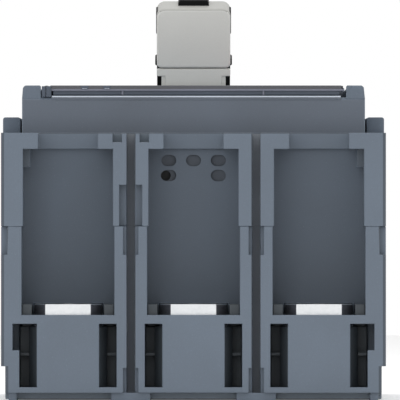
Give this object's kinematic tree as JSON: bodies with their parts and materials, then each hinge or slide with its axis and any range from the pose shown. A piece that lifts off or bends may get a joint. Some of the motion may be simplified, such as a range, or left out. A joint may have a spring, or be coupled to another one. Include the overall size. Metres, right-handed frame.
{
  "type": "molded case circuit breaker",
  "caption": "Three-pole molded case circuit breaker with toggle handle, terminal chambers at both ends, double-break rotor, trip unit and hinged accessory flap.",
  "frame": {"origin": "middle of the housing's footprint on the mounting plane, under the feet", "axes": "+Z out of the front of the breaker, +Y towards the line terminals, X across the poles"},
  "size_m": [0.138, 0.248, 0.1464],
  "materials": {
    "shell": "fine spark-eroded texture, satin",
    "flap": "fine textured, satin",
    "cap": "fine textured, light grey",
    "sleeve": "fine textured, light grey",
    "black_plastic": "satin black",
    "insulation": "brown-grey moulding compound",
    "red_plastic": "glossy red",
    "zinc_steel": "zinc plated",
    "bare_steel": "bare pressed steel",
    "copper": "bare copper",
    "silver_plate": "silver or tin plated copper",
    "board": "solder mask",
    "bezel": "textured dark grey"
  },
  "bodies": {
    "housing": {"base_housing": "shell", "main_cover": "shell", "flap_hinge_pins": "zinc_steel", "cover_screws": "zinc_steel", "side_plate_left": "zinc_steel", "side_plate_right": "zinc_steel", "frame_spacers": "zinc_steel", "cradle": "zinc_steel", "cradle_pin": "zinc_steel", "button_spring": "zinc_steel", "line_conductor_1": "silver_plate", "line_conductor_2": "silver_plate", "line_conductor_3": "silver_plate", "load_conductor_1": "silver_plate", "load_conductor_2": "silver_plate", "load_conductor_3": "silver_plate", "fixed_contact_tips": "silver_plate", "arc_plates_1": "bare_steel", "arc_plates_2": "bare_steel", "arc_plates_3": "bare_steel", "pole_cheeks_1": "insulation", "pole_cheeks_2": "insulation", "pole_cheeks_3": "insulation", "terminal_nuts": "zinc_steel", "nut_keepers": "insulation", "trip_unit_case": "black_plastic", "trip_unit_lid": "bezel", "circuit_board": "board", "release_solenoid": "copper", "current_transformer_1": "insulation", "current_transformer_2": "insulation", "current_transformer_3": "insulation"},
    "handle": {"toggle_yoke": "zinc_steel", "toggle_lever": "black_plastic", "handle_sleeve": "sleeve", "handle_cap": "cap", "handle_shutter": "black_plastic", "mechanism_springs": "zinc_steel"},
    "rotor": {"rotor_drum_1": "black_plastic", "rotor_drum_2": "black_plastic", "rotor_drum_3": "black_plastic", "rotor_rods": "zinc_steel", "contact_bridge_1": "copper", "contact_bridge_2": "copper", "contact_bridge_3": "copper", "moving_contact_tips": "silver_plate"},
    "upper_link": {"upper_links": "zinc_steel", "knee_pin": "zinc_steel"},
    "lower_link": {"lower_links": "zinc_steel"},
    "latch": {"latch": "zinc_steel"},
    "trip_bar": {"trip_bar": "black_plastic"},
    "trip_button": {"trip_button": "red_plastic"},
    "release_plunger": {"release_plunger": "zinc_steel"},
    "dial_1": {"dial_1": "cap"},
    "dial_2": {"dial_2": "cap"},
    "dial_3": {"dial_3": "cap"},
    "flap": {"accessory_cover": "flap"}
  },
  "joints": [
    {"name": "handle_pivot", "type": "hinge", "parent": "housing", "child": "handle", "pos_m": [0, 0.007, 0.068], "axis": [-1, 0, 0], "range_deg": [0, 38]},
    {"name": "rotor_turn", "type": "hinge", "parent": "housing", "child": "rotor", "pos_m": [0, 0.012, 0.05], "axis": [-1, 0, 0], "range_deg": [0, 35.01]},
    {"name": "upper_link_pivot", "type": "hinge", "parent": "housing", "child": "upper_link", "pos_m": [0, -0.0075, 0.0834], "axis": [-1, 0, 0], "range_deg": [0, 27.64]},
    {"name": "knee", "type": "hinge", "parent": "upper_link", "child": "lower_link", "pos_m": [0, 0.01239, 0.07989], "axis": [1, 0, 0], "range_deg": [0, 41.23]},
    {"name": "button_push", "type": "slide", "parent": "housing", "child": "trip_button", "axis": [0, 0, -1], "range_m": [0, 0.002], "stiffness_N_per_m": 300, "springref_m": -0.001, "deforming": ["button_spring"]},
    {"name": "trip_bar_turn", "type": "hinge", "parent": "housing", "child": "trip_bar", "pos_m": [0, -0.031, 0.0735], "axis": [-1, 0, 0], "range_deg": [0, 15.01]},
    {"name": "latch_turn", "type": "hinge", "parent": "housing", "child": "latch", "pos_m": [0, -0.0245, 0.0745], "axis": [1, 0, 0], "range_deg": [0, 8.01]},
    {"name": "plunger_slide", "type": "slide", "parent": "housing", "child": "release_plunger", "axis": [0, 1, 0], "range_m": [0, 0.0012]},
    {"name": "dial_1_turn", "type": "hinge", "parent": "housing", "child": "dial_1", "pos_m": [-0.034, -0.06025, 0.1092], "axis": [0, 0, 1], "range_deg": [-135, 135]},
    {"name": "dial_2_turn", "type": "hinge", "parent": "housing", "child": "dial_2", "pos_m": [-0.014, -0.06025, 0.1092], "axis": [0, 0, 1], "range_deg": [-135, 135]},
    {"name": "dial_3_turn", "type": "hinge", "parent": "housing", "child": "dial_3", "pos_m": [0.006, -0.06025, 0.1092], "axis": [0, 0, 1], "range_deg": [-135, 135]},
    {"name": "flap_hinge", "type": "hinge", "parent": "housing", "child": "flap", "pos_m": [-0.0529, 0, 0.1117], "axis": [0, -1, 0], "range_deg": [0, 100]}
  ],
  "couplings": [
    {"joint": "rotor_turn", "follows": "handle_pivot", "ratio": 0.92105},
    {"joint": "upper_link_pivot", "follows": "handle_pivot", "ratio": 0.72711},
    {"joint": "knee", "follows": "handle_pivot", "ratio": 1.0847},
    {"joint": "trip_bar_turn", "follows": "button_push", "rad_per_m": 130.9},
    {"joint": "latch_turn", "follows": "button_push", "rad_per_m": 69.813}
  ]
}
